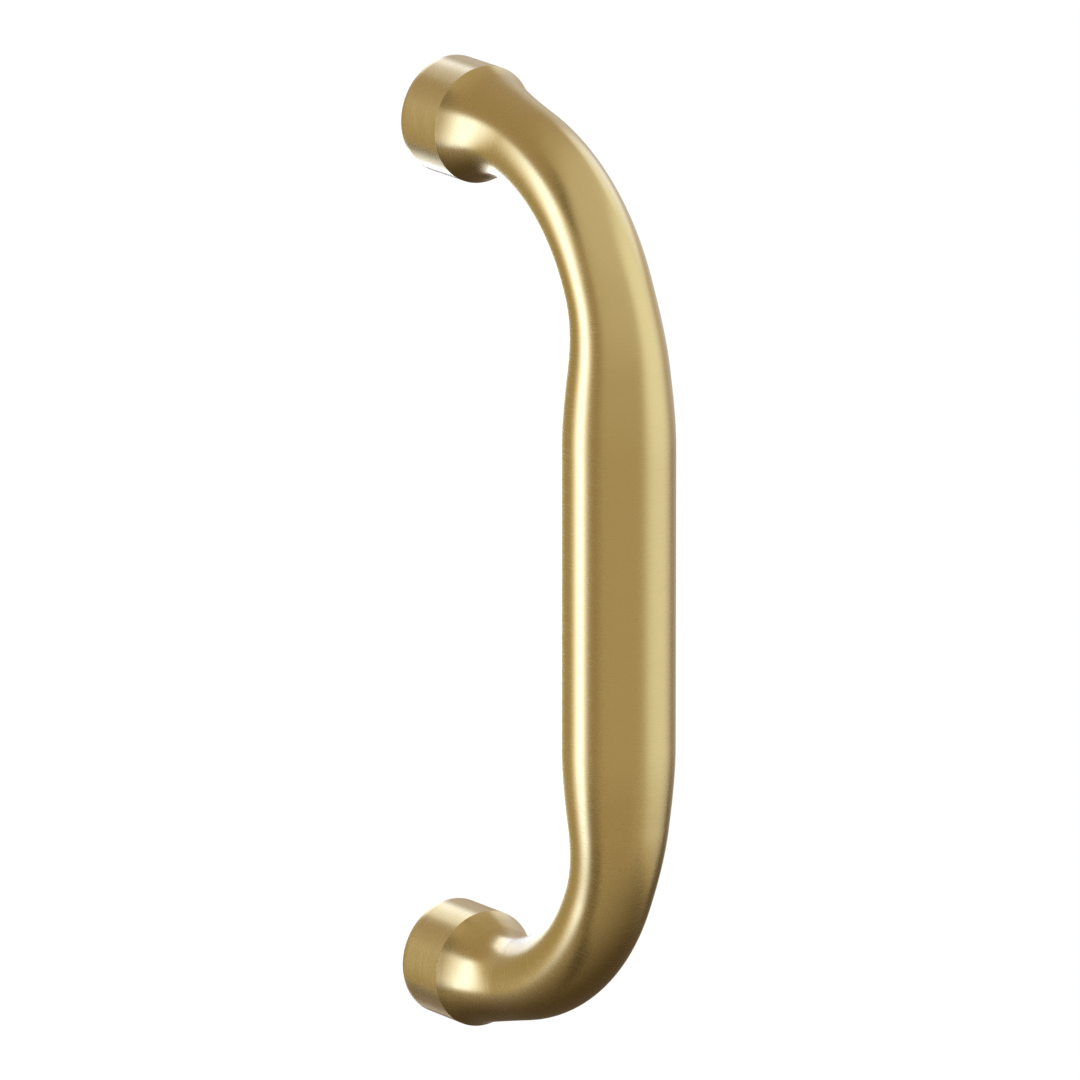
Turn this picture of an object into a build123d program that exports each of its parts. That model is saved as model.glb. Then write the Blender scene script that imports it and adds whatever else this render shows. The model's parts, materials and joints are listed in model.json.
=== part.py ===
from build123d import *
import math
import os

# Door pull: one solid brass bar, turned to a flowing round profile and bent into a D.
# The door plane is Y = 0 and the pull stands out towards -Y, with its length along Z.
# The origin is on the door plane, midway between the two fixing holes.

# Driving dimensions of the bar, in millimetres
fixing_centres = 150.0
bend_radius = 35.5
collar_length = 10.0
neck_straight = 3.5
swell_straight = 13.5

foot_diameter = 20.4
flare_length = 13.0
neck_diameter = 14.4
shoulder_diameter = 15.4
swell_length = 28.0
grip_diameter = 20.0

# Driving dimensions of the blind tapped hole in each foot
tapping_diameter = 6.8
tapped_depth = 14.0
drill_point_angle = 118.0
mouth_chamfer = 0.8
mouth_angle = 120.0

# How many round sections shape each stretch of the bar: flare, taper and swell
sections_per_stretch = 7

# Centreline of the upper half, from the rim of the collar to the parallel grip:
# a short straight neck, a quarter bend and a straight stretch where the swell ends
foot_height = fixing_centres / 2
grip_standoff = collar_length + neck_straight + bend_radius
grip_length = fixing_centres - 2 * (bend_radius + swell_straight)
rim = (0, -collar_length, foot_height)
corner = (0, -grip_standoff, foot_height)
grip_top = (0, -grip_standoff, grip_length / 2)
centreline = FilletPolyline(rim, corner, grip_top, radius=bend_radius)

# Stretches of the profile, by their distance along the centreline from the rim
swell_end = centreline.length
swell_start = swell_end - swell_length

# The flare is a hollow arc that leaves the collar at a crease and runs out into the taper
taper_slope = (shoulder_diameter - neck_diameter) / 2 / (swell_start - flare_length)
rim_rise = (foot_diameter - neck_diameter) / 2 + taper_slope * flare_length
flare_radius = (flare_length**2 + rim_rise**2) / (2 * rim_rise)


def bar_radius(distance):
    """Radius of the bar at a distance along the centreline from the rim."""
    taper = neck_diameter / 2 + taper_slope * (distance - flare_length)
    if distance < flare_length:
        return taper + flare_radius - math.sqrt(flare_radius**2 - (flare_length - distance) ** 2)
    if distance < swell_start:
        return taper
    share = (distance - swell_start) / swell_length
    ease = share**2 * (3 - 2 * share)
    return taper + (grip_diameter / 2 - taper) * ease


def bar_section(distance):
    """Round section of the bar, square to the centreline."""
    place = centreline.position_at(distance, PositionMode.LENGTH)
    heading = centreline.tangent_at(distance, PositionMode.LENGTH)
    return Plane(place, x_dir=(1, 0, 0), z_dir=heading) * Circle(bar_radius(distance))


def bent_bar():
    """Upper half of the flowing bar, from the rim of the collar to the parallel grip."""
    distances = [0]
    for start, end in ((0, flare_length), (flare_length, swell_start), (swell_start, swell_end)):
        step = (end - start) / sections_per_stretch
        distances += [start + step * count for count in range(1, sections_per_stretch + 1)]
    return sweep([bar_section(distance) for distance in distances], path=centreline, multisection=True)


def fixing_hole(foot_plane):
    """Blind tapped hole with a countersunk mouth and a drill point, going in from the foot's face."""
    drill_radius = tapping_diameter / 2
    mouth_radius = drill_radius + mouth_chamfer
    mouth_depth = mouth_chamfer / math.tan(math.radians(mouth_angle / 2))
    point_depth = drill_radius / math.tan(math.radians(drill_point_angle / 2))
    outline = Polyline(
        (0, 0),
        (mouth_radius, 0),
        (drill_radius, mouth_depth),
        (drill_radius, tapped_depth),
        (0, tapped_depth + point_depth),
        close=True,
    )
    return foot_plane * revolve(Plane.XZ * make_face(outline), Axis.Z)


def upper_half():
    """Upper foot, with its fixing hole, and the bar that flows from it."""
    foot_plane = Plane((0, 0, foot_height), x_dir=(1, 0, 0), z_dir=(0, -1, 0))
    collar = extrude(foot_plane * Circle(foot_diameter / 2), collar_length)
    return collar + bent_bar() - fixing_hole(foot_plane)


def pull_body():
    """Both halves joined by the parallel grip."""
    half = upper_half()
    grip_plane = Plane(grip_top, x_dir=(1, 0, 0), z_dir=(0, 0, -1))
    grip = extrude(grip_plane * Circle(grip_diameter / 2), grip_length)
    return half + grip + mirror(half, about=Plane.XY)


os.makedirs("parts", exist_ok=True)
export_step(pull_body(), "parts/pull_body.step")
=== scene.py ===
import json
import math

import bmesh
import bpy
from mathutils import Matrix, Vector


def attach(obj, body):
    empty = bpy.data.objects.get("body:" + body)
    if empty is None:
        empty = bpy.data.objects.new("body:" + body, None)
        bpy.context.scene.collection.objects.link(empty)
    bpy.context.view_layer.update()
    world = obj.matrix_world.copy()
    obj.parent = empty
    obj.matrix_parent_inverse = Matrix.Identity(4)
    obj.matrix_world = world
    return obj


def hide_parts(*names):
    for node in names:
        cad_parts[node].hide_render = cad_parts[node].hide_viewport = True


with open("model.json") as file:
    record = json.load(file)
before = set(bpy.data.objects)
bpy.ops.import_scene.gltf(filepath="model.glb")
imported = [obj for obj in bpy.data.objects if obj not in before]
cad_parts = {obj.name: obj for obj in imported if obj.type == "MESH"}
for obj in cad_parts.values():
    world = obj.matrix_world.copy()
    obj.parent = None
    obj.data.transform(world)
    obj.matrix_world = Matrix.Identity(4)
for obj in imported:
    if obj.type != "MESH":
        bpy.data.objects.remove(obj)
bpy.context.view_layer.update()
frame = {"nodes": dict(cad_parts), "record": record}
scene = bpy.context.scene
mm = 0.001
print("frame loaded, nodes:", ", ".join(frame["nodes"]))


def linearColour(hexCode):   # sRGB hex, such as "#a38851", to linear RGBA
    channels = [int(hexCode[start:start + 2], 16) / 255 for start in (1, 3, 5)]
    linear = [c / 12.92 if c <= 0.04045 else ((c + 0.055) / 1.055) ** 2.4 for c in channels]
    return linear + [1.0]


def addNode(tree, kind, inputs=None, **settings):   # a socket given as an input is linked, a value is set
    node = tree.nodes.new(kind)
    for name, value in settings.items():
        setattr(node, name, value)
    for key, value in (inputs or {}).items():
        if isinstance(value, bpy.types.NodeSocket):
            tree.links.new(value, node.inputs[key])
        else:
            node.inputs[key].default_value = value
    return node


def emptyMaterial(name):   # a material and its node tree, with nothing in it yet
    material = bpy.data.materials.new(name)
    material.use_nodes = True
    material.node_tree.nodes.clear()
    return material, material.node_tree


# satin brass: solid brass, brushed around the bar with a fine belt and left clear
brassFinish = {
    "colour": "#a38851",        # what the belt leaves of the yellow
    "streakWidth": 0.26,        # mm along the bar; real scratches are about 0.03, drawn coarser to show
    "streakLength": 4.0,        # mm around the bar
    "streakDetail": 1.5,
    "streakStart": 0.45,        # noise level at which a streak begins
    "streakFull": 0.75,         # and at which it is at its roughest
    "roughness": 0.244,         # between the streaks
    "streakRoughness": 0.295,
    "stretch": 0.35,            # highlights are drawn out along the bar, across the scratches
}


def satinBrass(finish):
    # the eye gets soft-edged reflections, frayed by scratches that run round the section
    material, tree = emptyMaterial("satin_brushed_brass")
    brushing = addNode(tree, "ShaderNodeAttribute", attribute_name="brushing")
    heading = addNode(tree, "ShaderNodeAttribute", attribute_name="heading")
    across = 1 / (finish["streakWidth"] * mm)
    around = 1 / (finish["streakLength"] * mm)
    placed = addNode(tree, "ShaderNodeMapping", {
        "Vector": brushing.outputs["Vector"],
        "Scale": (across, around, around),
    })
    streaks = addNode(tree, "ShaderNodeTexNoise", {
        "Vector": placed.outputs["Vector"],
        "Scale": 1.0,
        "Detail": finish["streakDetail"],
    })
    roughness = addNode(tree, "ShaderNodeMapRange", {
        "Value": streaks.outputs["Fac"],
        "From Min": finish["streakStart"],
        "From Max": finish["streakFull"],
        "To Min": finish["roughness"],
        "To Max": finish["streakRoughness"],
    })
    shader = addNode(tree, "ShaderNodeBsdfPrincipled", {
        "Base Color": linearColour(finish["colour"]),
        "Metallic": 1.0,
        "Roughness": roughness.outputs["Result"],
        "Anisotropic": finish["stretch"],
        "Tangent": heading.outputs["Vector"],
    })
    addNode(tree, "ShaderNodeOutputMaterial", {"Surface": shader.outputs["BSDF"]})
    return material


# pull body, in mm: one turned and bent bar; the fixing holes come from the frame
fixing = frame["record"]["mounts"][0]["dims"]
pullBody = {
    "fixingCentres": fixing["spacing_y_mm"],
    "bendRadius": 35.5,
    "collarLength": 10.0,
    "neckStraight": 3.5,
    "swellStraight": 13.5,
    "footDiameter": 20.4,
    "flareLength": 13.0,
    "neckDiameter": 14.4,
    "shoulderDiameter": 15.4,
    "swellLength": 28.0,
    "gripDiameter": 20.0,
    "bendPoints": 600,          # in each bend, so that the rings sit on the true arc
    "ringSpacing": 0.7,
    "sides": 96,
    "creaseAngle": 15.0,        # degrees; the front rim of the foot stays crisp
    "weld": 0.005,              # joins the bar's end rings to the feet
}
bendLength = pullBody["bendRadius"] * math.pi / 2
spineLength = (2 * (pullBody["neckStraight"] + bendLength)
               + pullBody["fixingCentres"] - 2 * pullBody["bendRadius"])

# back end of each foot, in mm: flat face and a blind hole tapped M8
footBack = {
    "edgeBreak": 0.25,          # radius of the rounded back edge
    "edgeSteps": 4,
    "ringStep": 0.9,            # along the collar and across the flat face
    "mouthRadius": 4.2,
    "mouthAngle": 120.0,
    "drillRadius": fixing["hole_r_mm"],
    "threadRadius": 4.0,
    "threadPitch": 1.25,
    "flankStart": 0.32,         # shares of half a pitch, from the middle of the crest
    "flankEnd": 0.875,
    "threadRunout": 1.9,
    "tappedDepth": 14.0,
    "drillPoint": 118.0,
    "ringsPerTurn": 12,
}


def holeRadius(depth, turn):   # right-hand thread, opened by the countersunk mouth
    mouth = footBack["mouthRadius"] - depth * math.tan(math.radians(footBack["mouthAngle"] / 2))
    phase = (depth / footBack["threadPitch"] - turn) % 1
    rise = 1 - abs(2 * phase - 1)
    flank = (rise - footBack["flankStart"]) / (footBack["flankEnd"] - footBack["flankStart"])
    groove = min(max(flank, 0), 1)   # flat crest, flanks 60 degrees apart, flat root
    remaining = footBack["tappedDepth"] - depth
    groove *= min(max(remaining / footBack["threadRunout"], 0), 1)   # runs out before the drill point
    thread = footBack["drillRadius"] + groove * (footBack["threadRadius"] - footBack["drillRadius"])
    return max(mouth, thread)


def footRings():   # (depth from the door, radius or None for the thread, direction of the outline)
    footRadius = pullBody["footDiameter"] / 2
    edge = footBack["edgeBreak"]
    collar = pullBody["collarLength"]
    rings = []
    steps = round((collar - edge) / footBack["ringStep"])
    for step in range(steps):
        rings.append((collar - (collar - edge) * step / steps, footRadius, (1, 0)))
    for step in range(footBack["edgeSteps"] + 1):
        turn = math.pi / 2 * step / footBack["edgeSteps"]
        outward, inward = math.cos(turn), math.sin(turn)
        rings.append((edge - edge * inward, footRadius - edge + edge * outward, (outward, inward)))
    faceStart = footRadius - edge
    steps = round((faceStart - footBack["mouthRadius"]) / footBack["ringStep"])
    for step in range(1, steps):
        radius = faceStart - (faceStart - footBack["mouthRadius"]) * step / steps
        rings.append((0, radius, (0, 1)))
    steps = round(footBack["tappedDepth"] / footBack["threadPitch"] * footBack["ringsPerTurn"])
    for step in range(steps + 1):
        rings.append((footBack["tappedDepth"] * step / steps, None, (1, 0)))
    return rings


# turned end of one foot, from the front rim to the drill point
def addFoot(mesh, height, alongStart, sense):
    brushing = mesh.verts.layers.float_vector["brushing"]
    heading = mesh.verts.layers.float_vector["heading"]
    sides = pullBody["sides"]
    loops = []
    travelled = 0
    last = None
    for depth, fixedRadius, (axial, radial) in footRings():
        meanRadius = fixedRadius or footBack["drillRadius"]
        if last:
            travelled += math.dist(last, (depth, meanRadius))
        last = (depth, meanRadius)
        along = alongStart - sense * travelled
        loop = []
        for side in range(sides):
            turn = side / sides
            outX, outZ = math.cos(math.tau * turn), math.sin(math.tau * turn)
            radius = fixedRadius or holeRadius(depth, turn)
            vert = mesh.verts.new(Vector((radius * outX, -depth, height + radius * outZ)) * mm)
            vert[brushing] = Vector((along, radius * outX, sense * radius * outZ)) * mm
            vert[heading] = Vector((radial * outX, axial, radial * outZ))
            loop.append(vert)
        loops.append(loop)
    for front, back in zip(loops, loops[1:]):
        for side in range(sides):
            after = (side + 1) % sides
            mesh.faces.new((front[side], front[after], back[after], back[side]))
    drop = footBack["drillRadius"] / math.tan(math.radians(footBack["drillPoint"] / 2))
    point = mesh.verts.new(Vector((0, -footBack["tappedDepth"] - drop, height)) * mm)
    point[brushing] = Vector((alongStart - sense * (travelled + drop), 0, 0)) * mm
    point[heading] = Vector((0, 1, 0))
    for side in range(sides):
        mesh.faces.new((loops[-1][side], loops[-1][(side + 1) % sides], point))


def feetMesh():
    mesh = bmesh.new()
    mesh.verts.layers.float_vector.new("brushing")
    mesh.verts.layers.float_vector.new("heading")
    footHeight = pullBody["fixingCentres"] / 2
    addFoot(mesh, -footHeight, 0, 1)
    addFoot(mesh, footHeight, spineLength, -1)
    feet = bpy.data.meshes.new("feet")
    mesh.to_mesh(feet)
    mesh.free()
    return feet


def barInputs(material):   # values of the bar tree's inputs, in metres
    footHeight = pullBody["fixingCentres"] / 2
    standoff = pullBody["collarLength"] + pullBody["neckStraight"] + pullBody["bendRadius"]
    swellEnd = pullBody["neckStraight"] + bendLength + pullBody["swellStraight"]
    swellStart = swellEnd - pullBody["swellLength"]
    neckRadius = pullBody["neckDiameter"] / 2
    taperSlope = (pullBody["shoulderDiameter"] / 2 - neckRadius) / (swellStart - pullBody["flareLength"])
    rimRise = pullBody["footDiameter"] / 2 - neckRadius + taperSlope * pullBody["flareLength"]
    flareArc = (pullBody["flareLength"] ** 2 + rimRise ** 2) / (2 * rimRise)
    return {
        "Lower Rim": Vector((0, -pullBody["collarLength"], -footHeight)) * mm,
        "Lower Corner": Vector((0, -standoff, -footHeight)) * mm,
        "Upper Corner": Vector((0, -standoff, footHeight)) * mm,
        "Upper Rim": Vector((0, -pullBody["collarLength"], footHeight)) * mm,
        "Bend Radius": pullBody["bendRadius"] * mm,
        "Flare Length": pullBody["flareLength"] * mm,
        "Flare Arc": flareArc * mm,
        "Neck Radius": neckRadius * mm,
        "Taper Slope": taperSlope,
        "Swell Start": swellStart * mm,
        "Swell End": swellEnd * mm,
        "Grip Radius": pullBody["gripDiameter"] / 2 * mm,
        "Bend Points": pullBody["bendPoints"],
        "Ring Spacing": pullBody["ringSpacing"] * mm,
        "Crease Angle": math.radians(pullBody["creaseAngle"]),
        "Weld": pullBody["weld"] * mm,
        "Sides": pullBody["sides"],
        "Brass": material,
    }


# sweeps a round section of changing radius along the bent spine and welds it to the feet
def barTree(values):
    tree = bpy.data.node_groups.new("flowing_bar", "GeometryNodeTree")
    tree.interface.new_socket("Feet", in_out="INPUT", socket_type="NodeSocketGeometry")
    tree.interface.new_socket("Pull", in_out="OUTPUT", socket_type="NodeSocketGeometry")
    socketTypes = {Vector: "NodeSocketVector", float: "NodeSocketFloat", int: "NodeSocketInt"}
    for name, value in values.items():
        kind = socketTypes.get(type(value), "NodeSocketMaterial")
        tree.interface.new_socket(name, in_out="INPUT", socket_type=kind)
    given = addNode(tree, "NodeGroupInput").outputs

    # spine from rim to rim: three straight runs with a quarter bend at both corners
    corners = addNode(tree, "GeometryNodeCurvePrimitiveQuadrilateral", {
        "Point 1": given["Lower Rim"],
        "Point 2": given["Lower Corner"],
        "Point 3": given["Upper Corner"],
        "Point 4": given["Upper Rim"],
    }, mode="POINTS")
    opened = addNode(tree, "GeometryNodeSetSplineCyclic", {
        "Geometry": corners.outputs["Curve"],
        "Cyclic": False,
    })
    bent = addNode(tree, "GeometryNodeFilletCurve", {
        "Curve": opened.outputs["Geometry"],
        "Radius": given["Bend Radius"],
        "Count": given["Bend Points"],
    }, mode="POLY")
    spine = addNode(tree, "GeometryNodeResampleCurve", {
        "Curve": bent.outputs["Curve"],
        "Length": given["Ring Spacing"],
    }, mode="LENGTH")

    # radius by distance from the nearer rim: hollow flare, slow taper, eased swell to the grip
    along = addNode(tree, "GeometryNodeSplineParameter").outputs["Length"]
    whole = addNode(tree, "GeometryNodeCurveLength", {"Curve": spine.outputs["Curve"]})
    farSide = addNode(tree, "ShaderNodeMath", {0: whole.outputs["Length"], 1: along}, operation="SUBTRACT")
    fromRim = addNode(tree, "ShaderNodeMath", {
        0: along,
        1: farSide.outputs[0],
    }, operation="MINIMUM").outputs[0]
    pastFlare = addNode(tree, "ShaderNodeMath", {0: fromRim, 1: given["Flare Length"]}, operation="SUBTRACT")
    taper = addNode(tree, "ShaderNodeMath", {
        0: pastFlare.outputs[0],
        1: given["Taper Slope"],
        2: given["Neck Radius"],
    }, operation="MULTIPLY_ADD")
    inFlare = addNode(tree, "ShaderNodeMath", {0: pastFlare.outputs[0], 1: 0.0}, operation="MINIMUM")
    inFlareSquare = addNode(tree, "ShaderNodeMath", {0: inFlare.outputs[0], 1: 2.0}, operation="POWER")
    arcSquare = addNode(tree, "ShaderNodeMath", {0: given["Flare Arc"], 1: 2.0}, operation="POWER")
    arcLeg = addNode(tree, "ShaderNodeMath", {
        0: arcSquare.outputs[0],
        1: inFlareSquare.outputs[0],
    }, operation="SUBTRACT")
    arcRoot = addNode(tree, "ShaderNodeMath", {0: arcLeg.outputs[0]}, operation="SQRT")
    flare = addNode(tree, "ShaderNodeMath", {
        0: given["Flare Arc"],
        1: arcRoot.outputs[0],
    }, operation="SUBTRACT")
    swell = addNode(tree, "ShaderNodeMapRange", {
        "Value": fromRim,
        "From Min": given["Swell Start"],
        "From Max": given["Swell End"],
    }, interpolation_type="SMOOTHSTEP")
    swollen = addNode(tree, "ShaderNodeMix", {
        "Factor": swell.outputs["Result"],
        "A": taper.outputs[0],
        "B": given["Grip Radius"],
    }, data_type="FLOAT")
    radius = addNode(tree, "ShaderNodeMath", {
        0: swollen.outputs["Result"],
        1: flare.outputs[0],
    }, operation="ADD")

    # round section swept along the spine, which leaves its own place and heading on every ring
    kept = addNode(tree, "GeometryNodeCaptureAttribute", {"Geometry": spine.outputs["Curve"]})
    kept.capture_items.new("FLOAT", "Along")
    kept.capture_items.new("VECTOR", "Centre")
    kept.capture_items.new("VECTOR", "Heading")
    tree.links.new(along, kept.inputs["Along"])
    tree.links.new(addNode(tree, "GeometryNodeInputPosition").outputs[0], kept.inputs["Centre"])
    tree.links.new(addNode(tree, "GeometryNodeInputTangent").outputs[0], kept.inputs["Heading"])
    section = addNode(tree, "GeometryNodeCurvePrimitiveCircle", {"Resolution": given["Sides"], "Radius": 1.0})
    bar = addNode(tree, "GeometryNodeCurveToMesh", {
        "Curve": kept.outputs["Geometry"],
        "Profile Curve": section.outputs["Curve"],
        "Scale": radius.outputs[0],
    })

    # brushing coordinates: along the bar, and the two ways across its section
    place = addNode(tree, "GeometryNodeInputPosition").outputs[0]
    outward = addNode(tree, "ShaderNodeVectorMath", {
        0: place,
        1: kept.outputs["Centre"],
    }, operation="SUBTRACT")
    across = addNode(tree, "ShaderNodeVectorMath", {
        0: kept.outputs["Heading"],
        1: (1.0, 0.0, 0.0),
    }, operation="CROSS_PRODUCT")
    inPlane = addNode(tree, "ShaderNodeVectorMath", {
        0: outward.outputs["Vector"],
        1: across.outputs["Vector"],
    }, operation="DOT_PRODUCT")
    sideways = addNode(tree, "ShaderNodeSeparateXYZ", {"Vector": place})
    brushing = addNode(tree, "ShaderNodeCombineXYZ", {
        "X": kept.outputs["Along"],
        "Y": sideways.outputs["X"],
        "Z": inPlane.outputs["Value"],
    })
    brushed = addNode(tree, "GeometryNodeStoreNamedAttribute", {
        "Geometry": bar.outputs["Mesh"],
        "Name": "brushing",
        "Value": brushing.outputs["Vector"],
    }, data_type="FLOAT_VECTOR", domain="POINT")
    headed = addNode(tree, "GeometryNodeStoreNamedAttribute", {
        "Geometry": brushed.outputs["Geometry"],
        "Name": "heading",
        "Value": kept.outputs["Heading"],
    }, data_type="FLOAT_VECTOR", domain="POINT")

    # bar and feet become one skin, smooth but for its creases
    joined = addNode(tree, "GeometryNodeJoinGeometry")
    tree.links.new(given["Feet"], joined.inputs["Geometry"])
    tree.links.new(headed.outputs["Geometry"], joined.inputs["Geometry"])
    welded = addNode(tree, "GeometryNodeMergeByDistance", {
        "Geometry": joined.outputs["Geometry"],
        "Distance": given["Weld"],
    })
    smooth = addNode(tree, "GeometryNodeSetShadeSmooth", {
        "Geometry": welded.outputs["Geometry"],
        "Shade Smooth": True,
    }, domain="FACE")
    bend = addNode(tree, "GeometryNodeInputMeshEdgeAngle")
    sharp = addNode(tree, "ShaderNodeMath", {
        0: bend.outputs["Unsigned Angle"],
        1: given["Crease Angle"],
    }, operation="GREATER_THAN")
    creased = addNode(tree, "GeometryNodeSetShadeSmooth", {
        "Geometry": smooth.outputs["Geometry"],
        "Selection": sharp.outputs[0],
        "Shade Smooth": False,
    }, domain="EDGE")
    realized = addNode(tree, "GeometryNodeRealizeInstances", {"Geometry": creased.outputs["Geometry"]})
    finished = addNode(tree, "GeometryNodeSetMaterial", {
        "Geometry": realized.outputs["Geometry"],
        "Material": given["Brass"],
    })
    addNode(tree, "NodeGroupOutput", {"Pull": finished.outputs["Geometry"]})
    return tree


def makePull(material):
    values = barInputs(material)
    tree = barTree(values)
    pull = bpy.data.objects.new("brass_pull", feetMesh())
    scene.collection.objects.link(pull)
    modifier = pull.modifiers.new("flowing_bar", "NODES")
    modifier.node_group = tree
    for socket in tree.interface.items_tree:
        if socket.in_out == "INPUT" and socket.name in values:
            modifier[socket.identifier] = values[socket.name]
    evaluated = pull.evaluated_get(bpy.context.evaluated_depsgraph_get())
    skin = bpy.data.meshes.new_from_object(evaluated)
    pull.modifiers.remove(modifier)
    turned = bmesh.new()
    turned.from_mesh(skin)
    bmesh.ops.recalc_face_normals(turned, faces=turned.faces)
    turned.to_mesh(skin)
    turned.free()
    pull.data = skin
    return pull


brass = satinBrass(brassFinish)
pull = makePull(brass)
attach(pull, "root")
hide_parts("pull_body")
print("pull made:", len(pull.data.vertices), "points,", len(pull.data.polygons), "faces")


# camera at the photograph's viewing angle, far off with a long lens
viewpoint = {
    "azimuth": -35.517,         # degrees round from straight in front
    "elevation": 15.178,
    "distance": 3.455,          # m from the origin, midway between the fixing holes
    "lens": 669.97,             # mm
    "sensor": 36.0,             # mm
    "aimRight": 15.53,          # mm from the origin to the middle of the image
    "aimUp": -0.648,
}


def makeCamera(settings):
    azimuth, elevation = math.radians(settings["azimuth"]), math.radians(settings["elevation"])
    back = Vector((math.sin(azimuth) * math.cos(elevation),
                   -math.cos(azimuth) * math.cos(elevation),
                   math.sin(elevation)))
    right = Vector((math.cos(azimuth), math.sin(azimuth), 0))
    aim = (right * settings["aimRight"] + back.cross(right) * settings["aimUp"]) * mm
    camera = bpy.data.objects.new("camera", bpy.data.cameras.new("camera"))
    camera.location = back * settings["distance"]
    camera.rotation_euler = (aim - camera.location).to_track_quat("-Z", "Y").to_euler()
    camera.data.sensor_width = settings["sensor"]
    camera.data.lens = settings["lens"]
    scene.collection.objects.link(camera)
    scene.camera = camera


makeCamera(viewpoint)
print("camera set")


# pale floor, well below the pull, as wide as the light needs
floorStage = {
    "height": -1.70,            # m
    "radius": 9.0,
    "sides": 64,
    "colour": "#e9e9e9",
    "glow": 0.20,               # lifts the floor to white for the eye and in reflections
}


def seenDirectly(tree):   # 1 for camera, glossy and transmission rays
    path = addNode(tree, "ShaderNodeLightPath")
    eye = addNode(tree, "ShaderNodeMath", {
        0: path.outputs["Is Camera Ray"],
        1: path.outputs["Is Glossy Ray"],
    }, operation="MAXIMUM")
    return addNode(tree, "ShaderNodeMath", {
        0: eye.outputs[0],
        1: path.outputs["Is Transmission Ray"],
    }, operation="MAXIMUM").outputs[0]


def roundDisc(name, radius):   # level disc
    disc = bmesh.new()
    bmesh.ops.create_circle(disc, cap_ends=True, segments=floorStage["sides"], radius=radius)
    mesh = bpy.data.meshes.new(name)
    disc.to_mesh(mesh)
    disc.free()
    return mesh


def mattFloor(settings):   # matt paint, clear from below so that the pull can be seen from there
    material, tree = emptyMaterial("matt_pale_floor")
    matt = addNode(tree, "ShaderNodeBsdfDiffuse", {"Color": linearColour(settings["colour"])})
    level = addNode(tree, "ShaderNodeMath", {
        0: seenDirectly(tree),
        1: settings["glow"],
    }, operation="MULTIPLY")
    glow = addNode(tree, "ShaderNodeEmission", {"Strength": level.outputs[0]})
    lit = addNode(tree, "ShaderNodeAddShader", {0: matt.outputs[0], 1: glow.outputs[0]})
    below = addNode(tree, "ShaderNodeNewGeometry").outputs["Backfacing"]
    clear = addNode(tree, "ShaderNodeBsdfTransparent")
    oneSided = addNode(tree, "ShaderNodeMixShader", {0: below, 1: lit.outputs[0], 2: clear.outputs[0]})
    addNode(tree, "ShaderNodeOutputMaterial", {"Surface": oneSided.outputs[0]})
    return material


def paleFloor(settings):
    mesh = roundDisc("floor", settings["radius"])
    mesh.materials.append(mattFloor(settings))
    floor = bpy.data.objects.new("floor", mesh)
    floor.location.z = settings["height"]
    scene.collection.objects.link(floor)


paleFloor(floorStage)
print("floor laid")


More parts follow.
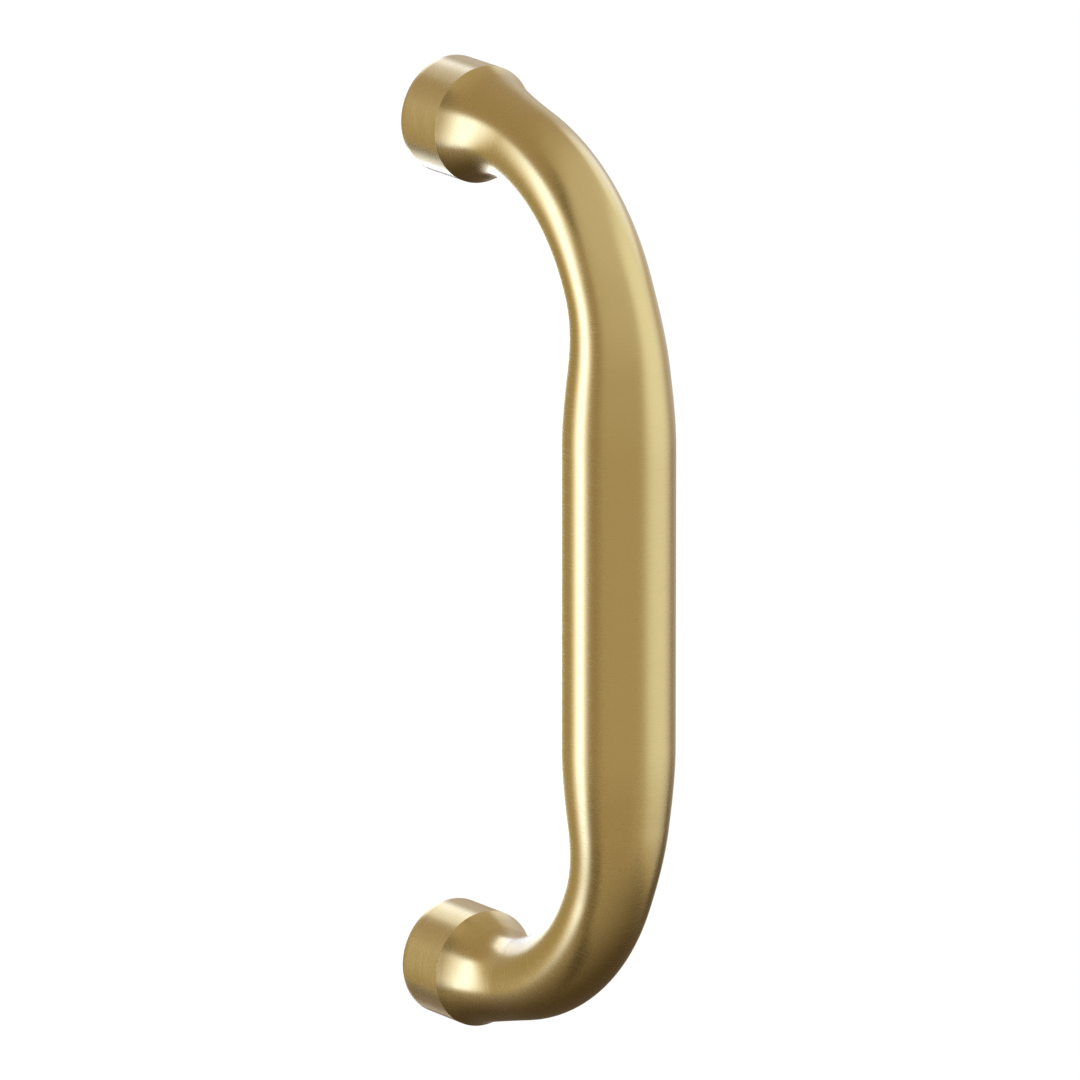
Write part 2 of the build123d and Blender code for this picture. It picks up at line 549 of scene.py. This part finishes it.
# studio light: soft cards around the pull, in metres; turn is the angle from the camera's side, in degrees,
# wide and tall reach to where the card is half faded, and a flat card lies level, overhead or near the floor
lightCards = {
    "left_strip": {
        "turn": -77.5, "distance": 1.40, "raise": -0.07, "flat": False,
        "wide": 0.50, "tall": 1.56, "fadeWide": 0.55, "fadeTall": 0.28,
        "bright": 13.20, "colour": "#9bb6ff",
    },
    "strip_halo": {
        "turn": -79.5, "distance": 1.45, "raise": -0.07, "flat": False,
        "wide": 1.03, "tall": 1.56, "fadeWide": 0.26, "fadeTall": 0.28,
        "bright": 1.65, "colour": "#fffbdc",
    },
    "strip_flag": {
        "turn": -46.0, "distance": 1.90, "raise": -0.43, "flat": False,
        "wide": 0.80, "tall": 2.35, "fadeWide": 0.70, "fadeTall": 0.50,
        "bright": 0.74, "colour": "#fff6e8",
    },
    "low_flag": {
        "turn": -54.0, "distance": 1.85, "raise": -1.45, "flat": False,
        "wide": 0.90, "tall": 0.70, "fadeWide": 0.50, "fadeTall": 0.50,
        "bright": 0.26, "colour": "#fff0d8",
    },
    "corner_flag": {
        "turn": -56.0, "distance": 1.30, "raise": -0.835, "flat": False,
        "wide": 0.40, "tall": 0.51, "fadeWide": 0.20, "fadeTall": 0.24,
        "bright": 0.42, "colour": "#fff0d8",
    },
    "front_low": {
        "turn": 0.0, "distance": 1.75, "raise": -1.12, "flat": False,
        "wide": 2.40, "tall": 0.50, "fadeWide": 1.40, "fadeTall": 0.50,
        "bright": 0.80, "colour": "#fff6ea",
    },
    "floor_flag": {
        "turn": -56.0, "distance": 1.05, "raise": -1.62, "flat": True,
        "wide": 0.50, "tall": 1.10, "fadeWide": 0.30, "fadeTall": 0.40,
        "bright": 0.12, "colour": "#fff0d8",
    },
    "upper_flag": {
        "turn": -51.5, "distance": 1.85, "raise": 2.05, "flat": False,
        "wide": 0.50, "tall": 2.20, "fadeWide": 0.30, "fadeTall": 0.50,
        "bright": 0.22, "colour": "#fff6e8",
    },
    "right_panel": {
        "turn": 87.0, "distance": 2.00, "raise": 0.50, "flat": False,
        "wide": 2.20, "tall": 2.90, "fadeWide": 1.50, "fadeTall": 1.60,
        "bright": 3.65, "colour": "#c5d9ff",
    },
    "right_low": {
        "turn": 90.0, "distance": 1.60, "raise": -1.14, "flat": False,
        "wide": 1.70, "tall": 0.32, "fadeWide": 0.40, "fadeTall": 0.20,
        "bright": 1.12, "colour": "#fffaf4",
    },
    "rear_right_panel": {
        "turn": 133.0, "distance": 2.20, "raise": 1.22, "flat": False,
        "wide": 1.80, "tall": 1.55, "fadeWide": 0.40, "fadeTall": 0.50,
        "bright": 3.90, "colour": "#c3d6ff",
    },
    "rear_left_strip": {
        "turn": -156.0, "distance": 0.82, "raise": -0.205, "flat": False,
        "wide": 0.40, "tall": 0.65, "fadeWide": 0.08, "fadeTall": 0.12,
        "bright": 6.30, "colour": "#d2e8ff",
    },
    "rear_left_top": {
        "turn": -158.0, "distance": 0.80, "raise": 0.285, "flat": False,
        "wide": 0.45, "tall": 0.69, "fadeWide": 0.14, "fadeTall": 0.16,
        "bright": 5.60, "colour": "#c1d5ff",
    },
    "collar_fill": {
        "turn": -155.0, "distance": 0.84, "raise": -0.60, "flat": False,
        "wide": 0.46, "tall": 0.28, "fadeWide": 0.08, "fadeTall": 0.12,
        "bright": 0.90, "colour": "#fff0d4",
    },
    "front_panel": {
        "turn": 5.0, "distance": 3.80, "raise": 2.40, "flat": False,
        "wide": 7.60, "tall": 4.00, "fadeWide": 0.50, "fadeTall": 2.40,
        "bright": 1.65, "colour": "#e3ecff",
    },
    "ceiling": {
        "turn": 50.0, "distance": 2.00, "raise": 2.40, "flat": True,
        "wide": 7.00, "tall": 4.00, "fadeWide": 0.60, "fadeTall": 0.60,
        "bright": 1.90, "colour": "#dde7ff",
    },
    "ceiling_shade": {
        "turn": -130.0, "distance": 2.20, "raise": 2.40, "flat": True,
        "wide": 7.00, "tall": 3.20, "fadeWide": 0.60, "fadeTall": 0.60,
        "bright": 0.84, "colour": "#fff8ee",
    },
    "left_wall": {
        "turn": -120.0, "distance": 2.60, "raise": -0.80, "flat": False,
        "wide": 2.05, "tall": 2.20, "fadeWide": 0.40, "fadeTall": 0.80,
        "bright": 0.80, "colour": "#fff6c8",
    },
    "rear_wall": {
        "turn": 172.0, "distance": 1.60, "raise": -0.28, "flat": False,
        "wide": 0.46, "tall": 0.95, "fadeWide": 0.20, "fadeTall": 0.35,
        "bright": 0.68, "colour": "#fff0d8",
    },
    "right_wall": {
        "turn": 153.0, "distance": 2.40, "raise": -1.70, "flat": False,
        "wide": 2.20, "tall": 2.00, "fadeWide": 0.50, "fadeTall": 1.00,
        "bright": 0.17, "colour": "#ffe6c4",
    },
}
# round dark card that lies just above the floor, under the pull and behind it
underCard = {
    "turn": 165.0, "distance": 1.45, "raise": -1.66,
    "radius": 2.55, "fade": 3.10,
    "bright": 0.16, "colour": "#ffe6c4",
}


def fadingGlow(tree, share, card):   # the card's light where share is 1, clear where it is 0
    clear = addNode(tree, "ShaderNodeBsdfTransparent")
    light = addNode(tree, "ShaderNodeEmission", {
        "Color": linearColour(card["colour"]),
        "Strength": card["bright"],
    })
    glow = addNode(tree, "ShaderNodeMixShader", {0: share, 1: clear.outputs[0], 2: light.outputs[0]})
    addNode(tree, "ShaderNodeOutputMaterial", {"Surface": glow.outputs[0]})


def cardGlow(name, card):   # brightest in the middle, fading out towards all four edges
    material, tree = emptyMaterial(name)
    place = addNode(tree, "ShaderNodeTexCoord").outputs["Object"]
    parts = addNode(tree, "ShaderNodeSeparateXYZ", {"Vector": place})
    shares = []
    for axis, size, fade in (("X", card["wide"], card["fadeWide"]), ("Z", card["tall"], card["fadeTall"])):
        aside = addNode(tree, "ShaderNodeMath", {0: parts.outputs[axis]}, operation="ABSOLUTE")
        share = addNode(tree, "ShaderNodeMapRange", {
            "Value": aside.outputs[0],
            "From Min": (size - fade) / 2,
            "From Max": (size + fade) / 2,
            "To Min": 1.0,
            "To Max": 0.0,
        }, interpolation_type="SMOOTHSTEP")
        shares.append(share.outputs["Result"])
    both = addNode(tree, "ShaderNodeMath", {0: shares[0], 1: shares[1]}, operation="MULTIPLY")
    fadingGlow(tree, both.outputs[0], card)
    return material


def discGlow(name, card):   # even in the middle, fading out towards its rim
    material, tree = emptyMaterial(name)
    place = addNode(tree, "ShaderNodeTexCoord").outputs["Object"]
    reach = addNode(tree, "ShaderNodeVectorMath", {0: place}, operation="LENGTH")
    share = addNode(tree, "ShaderNodeMapRange", {
        "Value": reach.outputs["Value"],
        "From Min": card["radius"] - card["fade"] / 2,
        "From Max": card["radius"] + card["fade"] / 2,
        "To Min": 1.0,
        "To Max": 0.0,
    }, interpolation_type="SMOOTHSTEP")
    fadingGlow(tree, share.outputs["Result"], card)
    return material


def placeCard(name, mesh, card, tilt):   # shows in the brass and nowhere else
    panel = bpy.data.objects.new(name, mesh)
    turn = math.radians(viewpoint["azimuth"] + card["turn"])
    panel.location = (math.sin(turn) * card["distance"], -math.cos(turn) * card["distance"], card["raise"])
    panel.rotation_euler = (tilt, 0, turn)
    panel.visible_camera = False
    panel.visible_diffuse = False
    panel.visible_shadow = False
    scene.collection.objects.link(panel)


def lightCard(name, card):   # rectangle that stands facing the pull, or lies level
    halfWide = (card["wide"] + card["fadeWide"]) / 2
    halfTall = (card["tall"] + card["fadeTall"]) / 2
    mesh = bpy.data.meshes.new(name)
    corners = [(-halfWide, 0, -halfTall), (halfWide, 0, -halfTall),
               (halfWide, 0, halfTall), (-halfWide, 0, halfTall)]
    mesh.from_pydata(corners, [], [(0, 1, 2, 3)])
    mesh.materials.append(cardGlow(name, card))
    placeCard(name, mesh, card, math.pi / 2 if card["flat"] else 0)


def shadeCard(name, card):
    mesh = roundDisc(name, card["radius"] + card["fade"] / 2)
    mesh.materials.append(discGlow(name, card))
    placeCard(name, mesh, card, 0)


def softWorld():   # even white light from all around
    world = bpy.data.worlds.new("soft_white")
    world.use_nodes = True
    tree = world.node_tree
    tree.nodes.clear()
    background = addNode(tree, "ShaderNodeBackground", {"Color": (1.0, 1.0, 1.0, 1.0), "Strength": 1.0})
    addNode(tree, "ShaderNodeOutputWorld", {"Surface": background.outputs[0]})
    scene.world = world


for name, card in lightCards.items():
    lightCard(name, card)
shadeCard("under_card", underCard)
softWorld()
scene.view_settings.view_transform = "Standard"
print("lights set")
